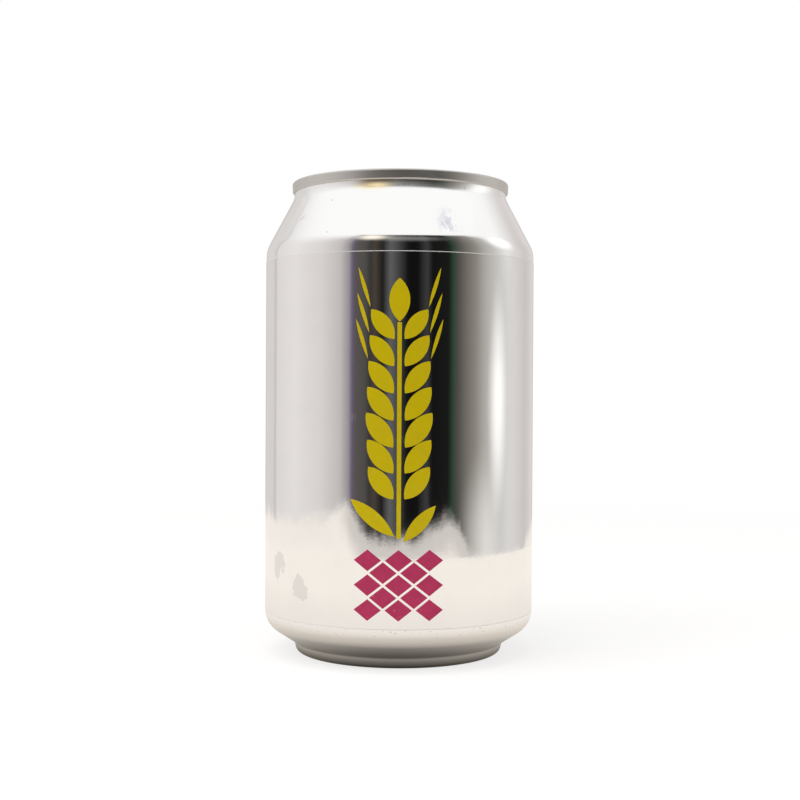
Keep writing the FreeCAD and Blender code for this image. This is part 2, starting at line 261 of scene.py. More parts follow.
studioSettings = {
    "floorSize": 6.0,
    "floorColour": (0.86, 0.84, 0.82, 1),
    "floorRoughness": 0.9,
    "floorSpecular": 0.0,
    "floorWhite": (1.0, 1.0, 1.0, 1),
    "floorLift": (0.72, 1.0),       # share of plain white the camera sees, near the can and far off
    "liftReach": (0.12, 0.55),
    "floorInGloss": (1.0, 0.945, 0.875, 1),
    # the floor's share of that colour in reflections, by distance from the can's axis in mm
    "floorShade": [
        (0, 0.03), (22, 0.04), (25, 0.08), (28.5, 0.32), (34, 0.62), (44, 0.84), (90, 0.88), (160, 0.97),
    ],
    "shadeReach": 160,
    "sideStretch": 1.11,            # the dark under the can is narrower to left and right
    "worldAmbient": 0.55,
    "surroundRadius": 0.235,
    "surroundHeight": 0.34,
    "surroundLift": 0.0005,         # off the floor
    "surroundSides": 128,
    # brightness round the can by bearing in degrees, 0 in front, positive to the right
    "surround": [
        (-180, (0.30, 0.29, 0.285)), (-150, (0.70, 0.67, 0.65)), (-128, (0.70, 0.67, 0.65)),
        (-124, (0.57, 0.55, 0.54)), (-120, (0.75, 0.72, 0.71)), (-92, (0.82, 0.79, 0.78)),
        (-64, (0.72, 0.69, 0.67)), (-47, (0.56, 0.53, 0.52)), (-39, (0.30, 0.28, 0.29)),
        (-37.3, (0.14, 0.112, 0.205)), (-34.5, (0.105, 0.092, 0.085)), (-26, (0.078, 0.074, 0.07)),
        (-23, (0.042, 0.038, 0.035)), (-19, (0.068, 0.055, 0.046)), (-13, (0.010, 0.010, 0.010)),
        (-7, (0.115, 0.115, 0.115)), (1, (0.040, 0.040, 0.040)),
        (6, (0.006, 0.006, 0.006)), (14, (0.006, 0.006, 0.006)), (21, (0.045, 0.045, 0.045)),
        (25, (0.007, 0.007, 0.007)), (38.5, (0.010, 0.011, 0.010)), (42, (0.026, 0.060, 0.035)),
        (46, (0.080, 0.076, 0.067)), (62, (0.27, 0.25, 0.225)), (72, (0.46, 0.445, 0.42)),
        (84, (0.60, 0.59, 0.57)), (98, (0.72, 0.71, 0.69)), (106, (0.73, 0.70, 0.68)),
        (127, (0.62, 0.585, 0.57)), (150, (0.74, 0.70, 0.69)), (180, (0.30, 0.29, 0.285)),
    ],
    # soft bright spots on the surround: bearing and spread in degrees, height and reach in metres
    "glares": [
        {"bearing": 85, "spread": 13, "height": 0.060, "reach": 0.052,
         "strength": 0.50, "tint": (1, 1, 0.98, 1)},
        {"bearing": 68, "spread": 24, "height": 0.004, "reach": 0.042,
         "strength": 0.30, "tint": (1, 1, 0.98, 1)},
        {"bearing": 94, "spread": 21, "height": 0.210, "reach": 0.115,
         "strength": 0.65, "tint": (1, 1, 0.98, 1)},
        {"bearing": 2, "spread": 50, "height": 0.240, "reach": 0.075,
         "strength": 0.19, "tint": (1, 0.97, 0.93, 1)},
        {"bearing": -25, "spread": 21, "height": 0.270, "reach": 0.085,
         "strength": 1.0, "tint": (1, 0.93, 0.80, 1)},
    ],
    "glareEdge": (1.0, 0.1),        # share of the reach where a spot starts, and where it is full
    # where the walls begin to fade up into the white ceiling, as a share of the height
    "fadeStart": [
        (-180, 0.74), (-140, 0.58), (-100, 0.42), (-70, 0.48), (-46, 0.58), (-37, 0.90), (30, 0.93),
        (46, 0.90), (64, 0.88), (80, 0.62), (105, 0.44), (140, 0.58), (180, 0.74),
    ],
    # height of the pale table edge on the surround by bearing, as a share of tableUnit
    "tableEdge": [
        (-180, 0.35), (-86, 0.33), (-60, 0.38), (-42, 0.56), (-33, 0.40), (-24, 0.22),
        (-8, 0.18), (12, 0.20), (30, 0.34), (40, 0.42), (48, 0.30), (56, 0.10),
        (66, 0.0), (120, 0.0), (150, 0.20), (180, 0.35),
    ],
    "tableUnit": 0.040,
    "jags": {"scale": 130, "detail": 5, "roughness": 0.58, "stretch": (0.15, 0.15, 1)},
    "jagHeight": 0.30,
    "edgeSoftness": 0.09,
    "farTable": (0.66, 0.62, 0.585, 1),
    "farBand": (-0.55, -0.15),      # where the far table's colour comes in, below the edge
    "farShare": [(-180, 0.2), (-48, 0.2), (-38, 1.0), (56, 1.0), (66, 0.6), (100, 0.3), (180, 0.2)],
}


def addFloor(s):
    deselectAll()
    bpy.ops.mesh.primitive_plane_add(size=s["floorSize"])
    floor = bpy.context.object
    floor.name = "studioFloor"
    material, tree, shader = newMaterial("paleFloor")
    shader.inputs["Base Color"].default_value = s["floorColour"]
    shader.inputs["Roughness"].default_value = s["floorRoughness"]
    shader.inputs["Specular IOR Level"].default_value = s["floorSpecular"]
    place = addNode(tree, "ShaderNodeTexCoord").outputs["Object"]
    path = addNode(tree, "ShaderNodeLightPath").outputs

    # the camera sees the floor pass into plain white
    lift = rangeNode(tree, vectorNode(tree, "LENGTH", place), *s["liftReach"], *s["floorLift"])
    lift = times(tree, path["Is Camera Ray"], lift)
    seen = mixShader(tree, lift, shader.outputs[0], glowNode(tree, s["floorWhite"]))

    # reflections see one colour, dark under the can
    around = vectorNode(tree, "LENGTH", vectorNode(tree, "MULTIPLY", place, (s["sideStretch"], 1, 1)))
    reach = s["shadeReach"]
    shade = rampNode(tree, mathNode(tree, "DIVIDE", around, reach * mm),
                     [(distance / reach, share) for distance, share in s["floorShade"]])
    gloss = glowNode(tree, mixColour(tree, 1.0, s["floorInGloss"], shade, "MULTIPLY"))
    surface = mixShader(tree, path["Is Glossy Ray"], seen, gloss)
    feed(tree, tree.nodes["Material Output"].inputs["Surface"], surface)
    floor.data.materials.append(material)


def addWorld(s):
    world = bpy.data.worlds.new("whiteStudio")
    bpy.context.scene.world = world
    world.use_nodes = True
    tree = world.node_tree
    background = tree.nodes["Background"]
    background.inputs["Color"].default_value = (1, 1, 1, 1)
    path = addNode(tree, "ShaderNodeLightPath").outputs
    seen = plus(tree, path["Is Camera Ray"], path["Is Glossy Ray"])
    seen = mathNode(tree, "ADD", seen, path["Is Transmission Ray"], clamp=True)
    strength = rangeNode(tree, seen, 0.0, 1.0, s["worldAmbient"], 1.0, soft=False)
    feed(tree, background.inputs["Strength"], strength)


def bearingRamp(tree, spread, stops):
    return rampNode(tree, spread, [((degrees + 180) / 360, tone) for degrees, tone in stops])


def addSurround(s):
    deselectAll()
    bpy.ops.mesh.primitive_cylinder_add(
        vertices=s["surroundSides"], radius=s["surroundRadius"], depth=s["surroundHeight"],
        end_fill_type="NOTHING", location=(0, 0, s["surroundHeight"] / 2 + s["surroundLift"]))
    surround = bpy.context.object
    surround.name = "greySurround"
    bpy.ops.object.transform_apply(location=True)
    material, tree, shader = newMaterial("greySurround")
    tree.nodes.remove(shader)
    place = addNode(tree, "ShaderNodeTexCoord").outputs["Object"]
    x, y, z = splitNode(tree, place)
    bearing = mathNode(tree, "ARCTAN2", x, times(tree, y, -1.0))
    spread = rangeNode(tree, bearing, -math.pi, math.pi, soft=False)
    colour = bearingRamp(tree, spread, s["surround"])

    for glare in s["glares"]:
        width, tall = glare["spread"], glare["reach"]
        across = mathNode(
            tree, "MULTIPLY_ADD", bearing, math.degrees(1) / width, -glare["bearing"] / width)
        up = mathNode(tree, "MULTIPLY_ADD", z, 1 / tall, -glare["height"] / tall)
        off = vectorNode(tree, "LENGTH", joinNode(tree, across, up))
        lit = rangeNode(tree, off, *s["glareEdge"], 0.0, glare["strength"])
        colour = mixColour(tree, lit, colour, glare["tint"], "ADD")

    # the walls fade up into a white ceiling
    height = mathNode(tree, "DIVIDE", z, s["surroundHeight"])
    fade = rangeNode(tree, height, bearingRamp(tree, spread, s["fadeStart"]), 1.0)
    colour = mixColour(tree, fade, colour, (1, 1, 1, 1))

    # table with a ragged far edge
    jags = noiseNode(tree, place, **s["jags"])
    jags = mathNode(tree, "MULTIPLY_ADD", jags, s["jagHeight"], -s["jagHeight"] / 2)
    edge = plus(tree, bearingRamp(tree, spread, s["tableEdge"]), jags)
    over = mathNode(tree, "SUBTRACT", times(tree, z, 1 / s["tableUnit"]), edge)
    far = times(tree, rangeNode(tree, over, *s["farBand"]), bearingRamp(tree, spread, s["farShare"]))
    table = mixColour(tree, far, s["floorInGloss"], s["farTable"])
    colour = mixColour(tree, rangeNode(tree, over, -s["edgeSoftness"], s["edgeSoftness"]), table, colour)

    feed(tree, tree.nodes["Material Output"].inputs["Surface"], glowNode(tree, colour))
    surround.data.materials.append(material)
    surround.visible_camera = False
    surround.visible_diffuse = False
    surround.visible_shadow = False
    surround.visible_transmission = False
    surround.visible_volume_scatter = False


lampSettings = {
    "topLamp": {"place": (-0.25, -0.2, 0.9), "size": 0.9, "power": 7.0},
    "leftLamp": {"place": (-0.9, -0.5, 0.5), "size": 0.8, "power": 5.0},
    "rightLamp": {"place": (0.9, -0.4, 0.45), "size": 0.7, "power": 4.0},
}


lampAim = (0, 0, 0.06)       # middle of the can


def addLamps(settings):
    for name, s in settings.items():
        deselectAll()
        bpy.ops.object.light_add(type="AREA", location=s["place"])
        lamp = bpy.context.object
        lamp.name = name
        lamp.data.size = s["size"]
        lamp.data.energy = s["power"]
        lamp.rotation_euler = (Vector(lampAim) - Vector(s["place"])).to_track_quat("-Z", "Y").to_euler()
        lamp.visible_glossy = False


addFloor(studioSettings)
addWorld(studioSettings)
addSurround(studioSettings)
addLamps(lampSettings)
bpy.context.scene.view_settings.view_transform = "Standard"
print("studio built")


# outlines for turned pieces, in millimetres: corners are (radius, height, round)

def roundedOutline(corners, perRound=10):
    points = []
    for i, (x, z, radius) in enumerate(corners):
        corner = Vector((x, 0, z))
        if radius == 0 or i in (0, len(corners) - 1):
            points.append(corner * mm)
            continue
        back = (Vector((corners[i - 1][0], 0, corners[i - 1][1])) - corner).normalized()
        ahead = (Vector((corners[i + 1][0], 0, corners[i + 1][1])) - corner).normalized()
        halfTurn = (math.pi - back.angle(ahead)) / 2
        centre = corner + (back + ahead).normalized() * (radius / math.cos(halfTurn))
        start = corner + back * radius * math.tan(halfTurn) - centre
        end = corner + ahead * radius * math.tan(halfTurn) - centre
        for step in range(perRound + 1):
            points.append((centre + start.slerp(end, step / perRound) * radius) * mm)
    return points


def turnPiece(name, points, steps, closedLoop=False):
    # one vertex is drawn out along the outline, and the outline is spun round the axis
    deselectAll()
    bpy.ops.mesh.primitive_plane_add(size=mm)
    piece = bpy.context.object
    piece.name = name
    bpy.ops.object.mode_set(mode="EDIT")
    bpy.ops.mesh.select_all(action="SELECT")
    bpy.ops.mesh.merge(type="CENTER")
    bpy.ops.transform.translate(value=points[0])
    path = points + [points[0]] if closedLoop else points
    for start, end in zip(path, path[1:]):
        bpy.ops.mesh.extrude_vertices_move(TRANSFORM_OT_translate={"value": end - start})
    bpy.ops.mesh.select_all(action="SELECT")
    bpy.ops.mesh.spin(steps=steps, angle=2 * math.pi, center=(0, 0, 0), axis=(0, 0, 1))
    bpy.ops.mesh.select_all(action="SELECT")
    bpy.ops.mesh.remove_doubles(threshold=weldReach)
    bpy.ops.mesh.normals_make_consistent(inside=False)
    bpy.ops.object.mode_set(mode="OBJECT")
    return piece


# can body

bodySettings = {
    "wall": wallRadius / mm,
    "neck": 26.1,
    "neckWall": 0.28,
    "shoulderHeight": 98.46,
    "shoulderRound": 6.7,
    "throatHeight": 111.44,
    "throatRound": 6.0,
    "heelHeight": 7.27,
    "heelRound": 5.3,
    "crease": (25.86, 2.6, 1.0),
    "ringFoot": (25.16, 0.0, 1.25),
    "ringInner": (22.4, 0.0, 1.3),
    "domeHeight": 10.6,
    "domeRadius": 46.0,
    "domeEdgeRound": 1.6,
    "hookTop": bodyHigh.z / mm,
    "hookFoot": 112.9,
    "fillRadius": 24.8,             # top of the filled inside, under the end
    "fillHeight": 108.2,
    "steps": 256,
}


def domeOutline(s, crownCount=14, edgeCount=8):
    # crown to the start of the inner ring wall, with a round between
    centreZ = s["domeHeight"] - s["domeRadius"]
    roundX = s["ringInner"][0] - s["domeEdgeRound"]
    roundZ = centreZ + math.sqrt((s["domeRadius"] - s["domeEdgeRound"]) ** 2 - roundX ** 2)
    lean = math.atan2(roundX, roundZ - centreZ)
    points = []
    for i in range(crownCount + 1):
        a = lean * i / crownCount
        x = s["domeRadius"] * math.sin(a)
        z = centreZ + s["domeRadius"] * math.cos(a)
        points.append(Vector((x, 0, z)) * mm)
    for i in range(1, edgeCount + 1):
        a = lean + (math.pi / 2 - lean) * i / edgeCount
        x = roundX + s["domeEdgeRound"] * math.sin(a)
        z = roundZ + s["domeEdgeRound"] * math.cos(a)
        points.append(Vector((x, 0, z)) * mm)
    return points, roundZ


def makeBody(s):
    dome, wallStart = domeOutline(s)
    neckInside = s["neck"] - s["neckWall"]
    outside = roundedOutline([
        (s["ringInner"][0], wallStart, 0),
        s["ringInner"],
        s["ringFoot"],
        s["crease"],
        (s["wall"], s["heelHeight"], s["heelRound"]),
        (s["wall"], s["shoulderHeight"], s["shoulderRound"]),
        (s["neck"], s["throatHeight"], s["throatRound"]),
        (s["neck"], s["hookTop"], 0),
        (neckInside, s["hookTop"], 0),
        (neckInside, s["hookFoot"], 0),
        (s["fillRadius"], s["fillHeight"], 0),
        (0, s["fillHeight"], 0),
    ])
    body = turnPiece("canBody", dome + outside[1:], s["steps"])
    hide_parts("can_body")
    return body


canBody = makeBody(bodySettings)
print("body turned", len(canBody.data.polygons))


# label film

filmSettings = {
    "inner": wallRadius / mm + 0.04,      # just off the wall
    "outer": filmRadius / mm - 0.02,      # room for the ink
    "outerSlack": 0.01,
    "bottom": filmLow.z / mm,
    "top": filmHigh.z / mm,
    "lapWidth": 6.0,
    "lapRise": 0.06,
    "steps": 360,
    "rings": 24,
}


def makeFilm(s):
    heights = [s["bottom"] + (s["top"] - s["bottom"]) * i / s["rings"] for i in range(s["rings"] + 1)]
    outline = [Vector((s["outer"], 0, z)) * mm for z in heights]
    outline += [Vector((s["inner"], 0, z)) * mm for z in (s["top"], s["bottom"])]
    film = turnPiece("labelFilm", outline, s["steps"], closedLoop=True)
    # the lap at the back, drawn out by one thickness of film
    halfLap = s["lapWidth"] / s["outer"] / 2
    deselectAll()
    film.select_set(True)
    bpy.context.view_layer.objects.active = film
    bpy.ops.object.mode_set(mode="EDIT")
    bpy.ops.mesh.select_all(action="DESELECT")
    bpy.ops.object.mode_set(mode="OBJECT")
    for face in film.data.polygons:
        outside = math.hypot(face.center.x, face.center.y) > (s["outer"] - s["outerSlack"]) * mm
        face.select = outside and abs(math.atan2(face.center.x, face.center.y)) < halfLap
    bpy.ops.object.mode_set(mode="EDIT")
    bpy.ops.mesh.extrude_region_shrink_fatten(TRANSFORM_OT_shrink_fatten={"value": s["lapRise"] * mm})
    bpy.ops.object.mode_set(mode="OBJECT")
    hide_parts("label_film")
    return film


labelFilm = makeFilm(filmSettings)
print("film wrapped", len(labelFilm.data.polygons))


# print: a mustard ear of barley over a field of raspberry lozenges, in millimetres

printSettings = {
    "start": 40.0,           # flat shapes stand this far in front of the axis before they are laid
    "rise": 0.004,           # ink sits just off the film
    "thick": 0.012,
    "ear": {
        "foot": 38.5, "pairs": 7, "step": 5.95, "out": 4.4, "lean": 38, "grain": (4.45, 9.9),
        "widest": 2, "taper": 0.035, "top": (4.7, 9.8), "topSink": 0.4, "cuts": 5,
    },
    "awn": {"width": 0.85, "length": 9.5, "lean": 17, "gap": 0.5, "from": 4},
    "stem": (1.0, 31.0, 79.6),     # width, foot and top
    "stemCuts": (2, 70),
    # side, width, length, lean and height of the foot
    "leaves": [(-1, 3.4, 13.0, 50, 31.4), (1, 3.1, 11.0, 42, 30.2)],
    "leafOut": 1.0,
    "leafCuts": 6,
    "lensCorners": {"fewest": 48, "perRadius": 10},
    "tipReach": 0.0001,            # the cut through an oval keeps its tips to this
    "lozenge": (6.2, 4.9),
    "lozengeCuts": 7,
    "pitch": 7.0,
    "rows": [(26.0, 3), (23.2, 2), (20.4, 3), (17.6, 2), (14.8, 3)],
}


def settle(shape, centre, turn):
    # stands a flat shape upright in front of the film
    upright = Matrix.Rotation(math.radians(turn), 3, "Y") @ Matrix.Rotation(math.pi / 2, 3, "X")
    shape.rotation_euler = upright.to_euler()
    shape.location = (centre[0] * mm, -printSettings["start"] * mm, centre[1] * mm)
    bpy.ops.object.transform_apply(location=True, rotation=True, scale=True)
    return shape


def lens(width, length, centre, turn, cuts):
    # pointed oval: a disc cut down to half a leaf, then mirrored across the cut
    s = printSettings
    radius = (length ** 2 + width ** 2) / (4 * width)
    corners = max(s["lensCorners"]["fewest"], int(radius * s["lensCorners"]["perRadius"]))
    bpy.ops.mesh.primitive_circle_add(vertices=corners, radius=radius * mm, fill_type="NGON")
    shape = bpy.context.object
    bpy.ops.object.mode_set(mode="EDIT")
    bpy.ops.mesh.select_all(action="SELECT")
    bpy.ops.transform.translate(value=((width / 2 - radius) * mm, 0, 0))
    bpy.ops.mesh.bisect(
        plane_co=(0, 0, 0), plane_no=(1, 0, 0), clear_inner=True, threshold=s["tipReach"] * mm)
    bpy.ops.mesh.select_all(action="SELECT")
    bpy.ops.mesh.duplicate()
    bpy.ops.transform.resize(value=(-1, 1, 1), center_override=(0, 0, 0))
    bpy.ops.mesh.flip_normals()      # so the mirrored half faces the same way
    bpy.ops.mesh.select_all(action="SELECT")
    bpy.ops.mesh.remove_doubles(threshold=weldReach / 2)
    bpy.ops.mesh.poke()
    bpy.ops.mesh.subdivide(number_cuts=cuts)
    bpy.ops.object.mode_set(mode="OBJECT")
    return settle(shape, centre, turn)


def strip(width, low, high, cuts):
    bpy.ops.mesh.primitive_grid_add(x_subdivisions=cuts[0], y_subdivisions=cuts[1], size=1)
    shape = bpy.context.object
    bpy.ops.object.mode_set(mode="EDIT")
    bpy.ops.mesh.select_all(action="SELECT")
    bpy.ops.transform.resize(value=(width * mm, (high - low) * mm, 1))
    bpy.ops.object.mode_set(mode="OBJECT")
    return settle(shape, (0, (low + high) / 2), 0)


def layInk(name, shapes, s):
    deselectAll()
    for shape in shapes:
        shape.select_set(True)
    bpy.context.view_layer.objects.active = shapes[0]
    bpy.ops.object.join()
    ink = bpy.context.object
    ink.name = name
    wrap = ink.modifiers.new("wrap", "SHRINKWRAP")
    wrap.target = labelFilm
    wrap.wrap_method = "PROJECT"
    wrap.use_project_y = True
    wrap.use_positive_direction = True
    wrap.use_negative_direction = False
    wrap.wrap_mode = "ABOVE_SURFACE"
    wrap.offset = s["rise"] * mm
    bpy.ops.object.modifier_apply(modifier="wrap")
    skin = ink.modifiers.new("skin", "SOLIDIFY")
    skin.thickness = s["thick"] * mm
    skin.offset = 1
    bpy.ops.object.modifier_apply(modifier="skin")
    bpy.ops.object.mode_set(mode="EDIT")
    bpy.ops.mesh.select_all(action="SELECT")
    bpy.ops.mesh.normals_make_consistent(inside=False)
    bpy.ops.object.mode_set(mode="OBJECT")
    return ink


def along(place, side, lean, reach):
    turn = math.radians(lean)
    return (place[0] + side * math.sin(turn) * reach, place[1] + math.cos(turn) * reach)


def makeBarley(s):
    deselectAll()
    ear, awn = s["ear"], s["awn"]
    width, length = ear["grain"]
    shapes = []
    for pair in range(ear["pairs"]):
        swell = 1 - ear["taper"] * abs(pair - ear["widest"])
        for side in (-1, 1):
            centre = (side * ear["out"] * swell, ear["foot"] + pair * ear["step"] + length / 2)
            shapes.append(lens(width * swell, length * swell, centre, side * ear["lean"], ear["cuts"]))
            if pair >= awn["from"]:
                tip = along(centre, side, ear["lean"], length * swell / 2)
                middle = along(tip, side, awn["lean"], awn["gap"] + awn["length"] / 2)
                shapes.append(lens(awn["width"], awn["length"], middle, side * awn["lean"], ear["cuts"]))
    crown = ear["foot"] + ear["pairs"] * ear["step"] - ear["topSink"]
    shapes.append(lens(*ear["top"], (0, crown + ear["top"][1] / 2), 0, ear["cuts"]))
    shapes.append(strip(*s["stem"], s["stemCuts"]))
    for side, leafWidth, leafLength, lean, foot in s["leaves"]:
        middle = along((side * s["leafOut"], foot), side, lean, leafLength / 2)
        shapes.append(lens(leafWidth, leafLength, middle, side * lean, s["leafCuts"]))
    return layInk("mustardBarley", shapes, s)


def makeLozenges(s):
    deselectAll()
    width, height = s["lozenge"]
    shapes = []
    for level, count in s["rows"]:
        for i in range(count):
            bpy.ops.mesh.primitive_circle_add(vertices=4, radius=0.5, fill_type="TRIFAN")
            shape = bpy.context.object
            bpy.ops.object.mode_set(mode="EDIT")
            bpy.ops.mesh.select_all(action="SELECT")
            bpy.ops.transform.resize(value=(width * mm, height * mm, 1))
            bpy.ops.mesh.subdivide(number_cuts=s["lozengeCuts"])
            bpy.ops.object.mode_set(mode="OBJECT")
            shapes.append(settle(shape, ((i - (count - 1) / 2) * s["pitch"], level), 0))
    return layInk("raspberryLozenges", shapes, s)


mustardBarley = makeBarley(printSettings)
raspberryLozenges = makeLozenges(printSettings)
print("print laid", len(mustardBarley.data.polygons), len(raspberryLozenges.data.polygons))


# finishes: lengths in the dictionaries are millimetres, and colours are linear

wornSettings = {
    "blotches": {"scale": 90, "detail": 4, "roughness": 0.6},
    "blotchRange": (0.38, 0.72),
    "scratchScale": 70,
    "scratchStretch": (1.0, 1.2, 0.16),
    "scratchTurn": (0.5, 0.3, 0.2),
    "scratchWidth": (0.012, 0.003),
    "breaks": {"scale": 160, "detail": 3},
    "breakRange": (0.60, 0.66),
}


def wornGroup(s):
    # soft blotches and hairline scratches shared by every metal
    tree, enter, leave = newGroup(
        "wornSurface", [("Vector", "NodeSocketVector")],
        [("Blotches", "NodeSocketFloat"), ("Scratches", "NodeSocketFloat")])
    blotches = noiseNode(tree, enter["Vector"], **s["blotches"])
    feed(tree, leave["Blotches"], rangeNode(tree, blotches, *s["blotchRange"]))
    cells = addNode(tree, "ShaderNodeTexVoronoi", feature="DISTANCE_TO_EDGE", Scale=s["scratchScale"])
    drawn = stretched(tree, enter["Vector"], s["scratchStretch"], s["scratchTurn"])
    feed(tree, cells.inputs["Vector"], drawn)
    lines = rangeNode(tree, cells.outputs["Distance"], *s["scratchWidth"])
    broken = rangeNode(tree, noiseNode(tree, enter["Vector"], **s["breaks"]), *s["breakRange"])
    feed(tree, leave["Scratches"], times(tree, lines, broken))
    return tree


spotEdge = (1.0, 0.25)        # share of a mark's half size where it starts, and where it is full


def spotGroup():
    # one soft-edged mark at a place on the piece
    tree, enter, leave = newGroup(
        "spotMask", [("Vector", "NodeSocketVector"), ("Place", "NodeSocketVector"),
                     ("Turn", "NodeSocketVector"), ("Size", "NodeSocketVector")],
        [("Mask", "NodeSocketFloat")])
    rotate = addNode(tree, "ShaderNodeVectorRotate", rotation_type="EULER_XYZ")
    feed(tree, rotate.inputs["Vector"], vectorNode(tree, "SUBTRACT", enter["Vector"], enter["Place"]))
    feed(tree, rotate.inputs["Rotation"], enter["Turn"])
    far = vectorNode(tree, "LENGTH", vectorNode(tree, "DIVIDE", rotate.outputs[0], enter["Size"]))
    feed(tree, leave["Mask"], rangeNode(tree, far, *spotEdge))
    return tree


worn = wornGroup(wornSettings)
spot = spotGroup()


def spotAt(tree, vector, place, size, turn=(0, 0, 0)):
    place, size = Vector(place) * mm, Vector(size) * mm
    return placeGroup(tree, spot, Vector=vector, Place=place, Size=size, Turn=turn)["Mask"]


def raggedSpot(tree, vector, s, spotPlace):
    # a mark whose edge is broken up by noise
    mark = spotAt(tree, vector, *spotPlace)
    grain = times(tree, noiseNode(tree, vector, **s["grain"]), s["grainShare"])
    broken = rangeNode(tree, plus(tree, mark, grain), *s["cut"])
    return times(tree, broken, rangeNode(tree, mark, *s["fade"]))


def objectPlace(tree):
    # object coordinates, height and distance from the axis
    place = addNode(tree, "ShaderNodeTexCoord").outputs["Object"]
    reach = vectorNode(tree, "LENGTH", vectorNode(tree, "MULTIPLY", place, (1, 1, 0)))
    return place, splitNode(tree, place)["Z"], reach


def turnedLines(tree, height, reach, scale=3500, detail=3):
    # fine rings, as rollers and drawing dies leave them
    return noiseNode(tree, joinNode(tree, height, reach), scale, detail)


bodyFinish = {
    "neck": (0.965, 0.962, 0.957, 1),
    "base": (0.86, 0.825, 0.785, 1),
    "baseFade": (10.0, 7.8),
    # painted warm reflection under the seam
    "paintedGleam": (1.0, 0.86, 0.52, 1),
    "paintedGleamSpot": ((-5.8, -24.8, 111.6), (7.0, 4.0, 2.0)),
    "paintedGleamShare": 0.85,
    # painted shade for the crease and the standing ring
    "paintedShade": (0.36, 0.335, 0.30, 1),
    "paintedShadeShare": 0.9,
    "creaseBand": ((1.9, 2.5), (3.4, 2.7)),
    "creaseShare": 0.2,
    "footBand": (3.0, 0.3),
    "ringSide": (22.8, 23.6),
    "specks": {"scale": 900, "detail": 3, "roughness": 0.6, "stretch": (1, 1, 2.2)},
    "speckBand": ((7.8, 9.4), (11.2, 10.4)),
    "speckRange": (0.63, 0.70),
    "mark": (0.34, 0.33, 0.33, 1),
    "markShare": 0.5,
    "scratchShare": 0.12,
    # place, half size and turn of each handling mark
    "marks": [
        ((-23.0, -18.9, 104.5), (1.4, 2.0, 0.20), (0, 0.75, 0)),
        ((-15.8, -22.9, 108.3), (0.3, 1.5, 0.3)),
        ((-16.7, -27.2, 100.4), (0.28, 1.5, 0.28)),
        ((14.9, -22.1, 111.4), (0.2, 1.5, 0.5)),
        ((9.0, 29.0, 103.0), (0.35, 1.5, 0.25)),
    ],
    "cloud": {"scale": 420, "detail": 5, "roughness": 0.68, "stretch": (1, 1, 0.45), "turn": (0, 0.4, 0)},
    "cloudRange": (0.40, 0.64),
    "smear": (0.60, 0.61, 0.70, 1),
    "smearSpot": ((11.2, -28.4, 102.0), (3.6, 5.5, 5.6), (0, 0.3, 0)),
    "smearShare": 0.95,
    "throatBand": (109.8, 111.8),
    "roughness": {"neck": 0.09, "base": 0.20, "throat": 0.15, "blotches": 0.05, "scratches": 0.06},
    "drawn": {"scale": 2200, "stretch": (1, 1, 0.03)},
    "drawnDepth": 0.0006,
    "ringDepth": 0.0010,
}


def bareAluminium(s):
    material, tree, shader = newMaterial("bareAluminium")
    place, height, reach = objectPlace(tree)
    blotches, scratches = placeGroup(tree, worn, Vector=place)
    base = slopeNode(tree, height, s["baseFade"])
    colour = mixColour(tree, base, s["neck"], s["base"])

    # painted shade in the crease above the standing ring and on the ring itself, darker towards the foot
    crease = times(tree, bandNode(tree, height, *s["creaseBand"]), s["creaseShare"])
    low = greatest(tree, crease, slopeNode(tree, height, s["footBand"]))
    creaseShadeMask = times(tree, low, slopeNode(tree, reach, s["ringSide"]), s["paintedShadeShare"])
    colour = mixColour(tree, creaseShadeMask, colour, s["paintedShade"])

    # painted warm reflection on the metal under the seam
    warm = times(tree, spotAt(tree, place, *s["paintedGleamSpot"]), s["paintedGleamShare"])
    colour = mixColour(tree, warm, colour, s["paintedGleam"])

    # specks under the label's lower edge, marks on the neck and faint scratches
    specks = rangeNode(tree, noiseNode(tree, place, **s["specks"]), *s["speckRange"])
    specks = times(tree, specks, bandNode(tree, height, *s["speckBand"]))
    marks = [spotAt(tree, place, *mark) for mark in s["marks"]]
    marks = greatest(tree, *marks, specks, times(tree, scratches, s["scratchShare"]))
    colour = mixColour(tree, times(tree, marks, s["markShare"]), colour, s["mark"])

    # cloudy smear on the neck
    cloud = rangeNode(tree, noiseNode(tree, place, **s["cloud"]), *s["cloudRange"])
    smear = times(tree, cloud, spotAt(tree, place, *s["smearSpot"]))
    colour = mixColour(tree, times(tree, smear, s["smearShare"]), colour, s["smear"])
    feed(tree, shader.inputs["Base Color"], colour)
    shader.inputs["Metallic"].default_value = 1.0

    rough = s["roughness"]
    satin = plus(tree, times(tree, base, rough["base"]),
                 times(tree, slopeNode(tree, height, s["throatBand"]), rough["throat"]), rough["neck"])
    feed(tree, shader.inputs["Roughness"], plus(
        tree, satin, times(tree, blotches, rough["blotches"]), times(tree, scratches, rough["scratches"])))
    normal = bumpNode(tree, noiseNode(tree, place, **s["drawn"]), s["drawnDepth"])
    normal = bumpNode(tree, turnedLines(tree, height, reach), s["ringDepth"], normal)
    feed(tree, shader.inputs["Normal"], normal)
    return material


